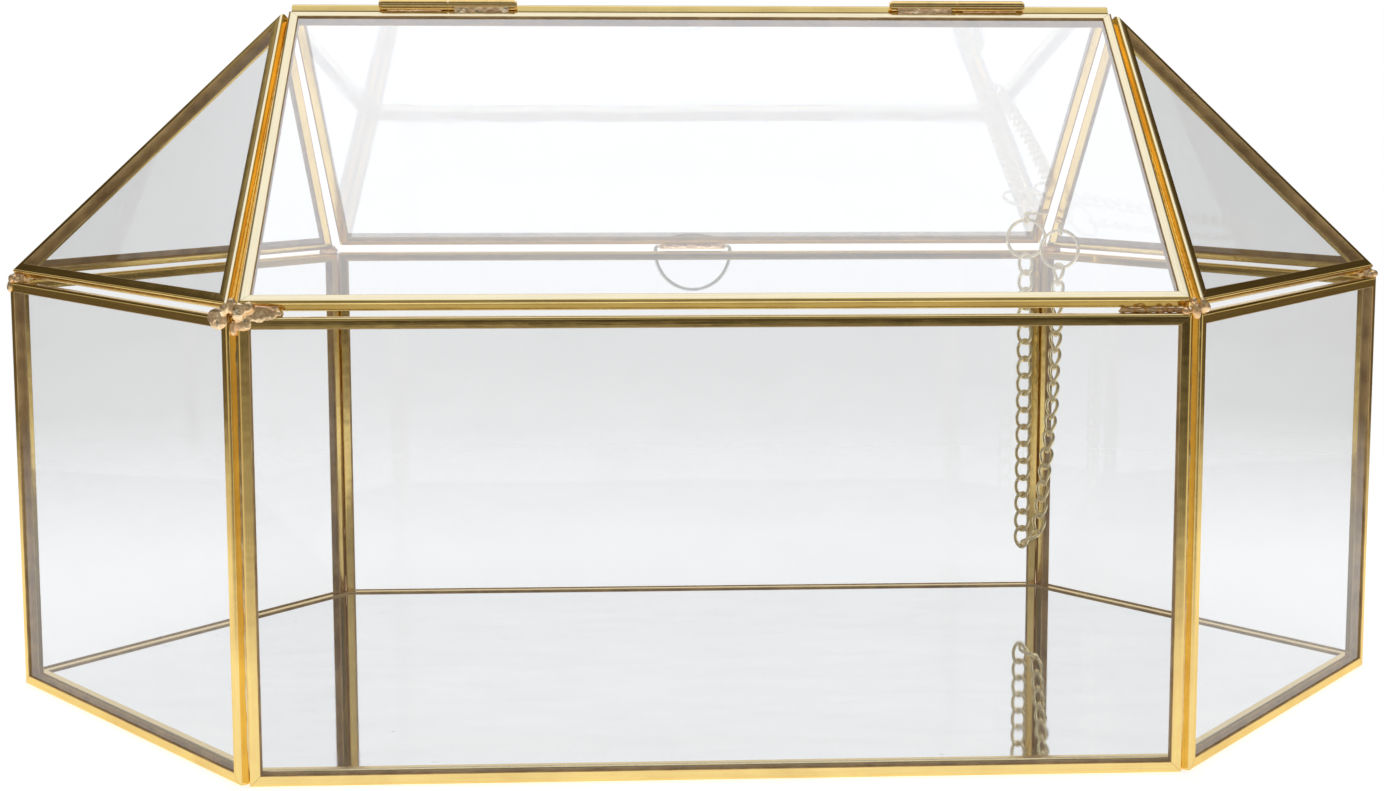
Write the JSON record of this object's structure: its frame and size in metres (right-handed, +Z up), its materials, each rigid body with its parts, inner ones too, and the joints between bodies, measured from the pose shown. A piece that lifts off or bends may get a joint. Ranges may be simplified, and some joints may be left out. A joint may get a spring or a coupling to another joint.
{
  "type": "wedding card box",
  "caption": "Hexagonal brass-framed glass card box with a mirror floor, hipped glass roof, hinged rear lid with ring pull and a stay chain.",
  "frame": {"origin": "on the resting plane, under the middle of the hexagonal plan", "axes": "+X along the length from tip to tip, +Y towards the back wall that the lid opens over, +Z up"},
  "size_m": [0.3812, 0.2133, 0.1896],
  "materials": {
    "brass": "polished",
    "solder": "satin",
    "chain_brass": "polished",
    "glass": "clear",
    "mirror": "polished"
  },
  "bodies": {
    "case": {"frame_front": "brass", "frame_front_right": "brass", "frame_back_right": "brass", "frame_back": "brass", "frame_back_left": "brass", "frame_front_left": "brass", "glass_front": "glass", "glass_front_right": "glass", "glass_back_right": "glass", "glass_back": "glass", "glass_back_left": "glass", "glass_front_left": "glass", "frame_floor": "brass", "mirror_floor": "mirror", "roof_frame_front": "brass", "roof_frame_front_right": "brass", "roof_frame_back_right": "brass", "roof_frame_back_left": "brass", "roof_frame_front_left": "brass", "roof_glass_front": "glass", "roof_glass_front_right": "glass", "roof_glass_back_right": "glass", "roof_glass_back_left": "glass", "roof_glass_front_left": "glass", "solder_posts": "solder", "solder_hips": "solder", "solder_eaves": "solder", "hinge_left_fixed": "brass", "hinge_right_fixed": "brass", "hinge_left_pin": "brass", "hinge_right_pin": "brass", "solder_hinge_fixed": "solder", "chain_eyelet_roof": "chain_brass"},
    "lid": {"lid_frame": "brass", "lid_glass": "glass", "hinge_left_moving": "brass", "hinge_right_moving": "brass", "solder_hinge_lid": "solder", "pull_tube": "brass", "pull_solder": "solder", "chain_eyelet_lid": "chain_brass"},
    "pull": {"pull_ring": "brass"},
    "chain_lid": {"chain_ring_lid": "chain_brass", "chain_strand_lid": "chain_brass"},
    "chain_turn": {"chain_turn_link": "chain_brass"},
    "chain_upper": {"chain_ring_roof": "chain_brass", "chain_strand_upper": "chain_brass"},
    "chain_lower": {"chain_strand_lower": "chain_brass"}
  },
  "joints": [
    {"name": "lid_open", "type": "hinge", "parent": "case", "child": "lid", "pos_m": [0, -0.00045, 0.18825], "axis": [1, 0, 0], "range_deg": [0, 143.08], "deforming": ["chain_ring_lid", "chain_strand_lid", "chain_turn_link", "chain_ring_roof", "chain_strand_upper", "chain_strand_lower"]},
    {"name": "pull_swing", "type": "hinge", "parent": "lid", "child": "pull", "pos_m": [0, 0.10665, 0.1144], "axis": [1, 0, 0], "range_deg": [0, 200]},
    {"name": "chain_lid_swing", "type": "hinge", "parent": "lid", "child": "chain_lid", "pos_m": [0.1051, 0.08569, 0.12329], "axis": [-0.9985, -0.0543, 0], "range_deg": [0, 109.42]},
    {"name": "chain_turn_swing", "type": "hinge", "parent": "chain_lid", "child": "chain_turn", "pos_m": [0.1051, 0.08569, 0.01966], "axis": [0, 1, 0], "range_deg": [0, 127]},
    {"name": "chain_upper_swing", "type": "hinge", "parent": "case", "child": "chain_upper", "pos_m": [0.1157, 0.08409, 0.11998], "axis": [-0.9905, 0.1347, 0.0285], "range_deg": [0, 147.02]},
    {"name": "chain_lower_swing", "type": "hinge", "parent": "chain_upper", "child": "chain_lower", "pos_m": [0.11427, 0.08497, 0.06632], "axis": [-0.0009, -0.9999, -0.0164], "range_deg": [0, 3.58]}
  ],
  "couplings": [
    {"joint": "chain_lid_swing", "follows": "lid_open", "ratio": 0.76475},
    {"joint": "chain_turn_swing", "follows": "lid_open", "ratio": 0.88762},
    {"joint": "chain_upper_swing", "follows": "lid_open", "ratio": 1.0275},
    {"joint": "chain_lower_swing", "follows": "lid_open", "ratio": 0.02502}
  ]
}
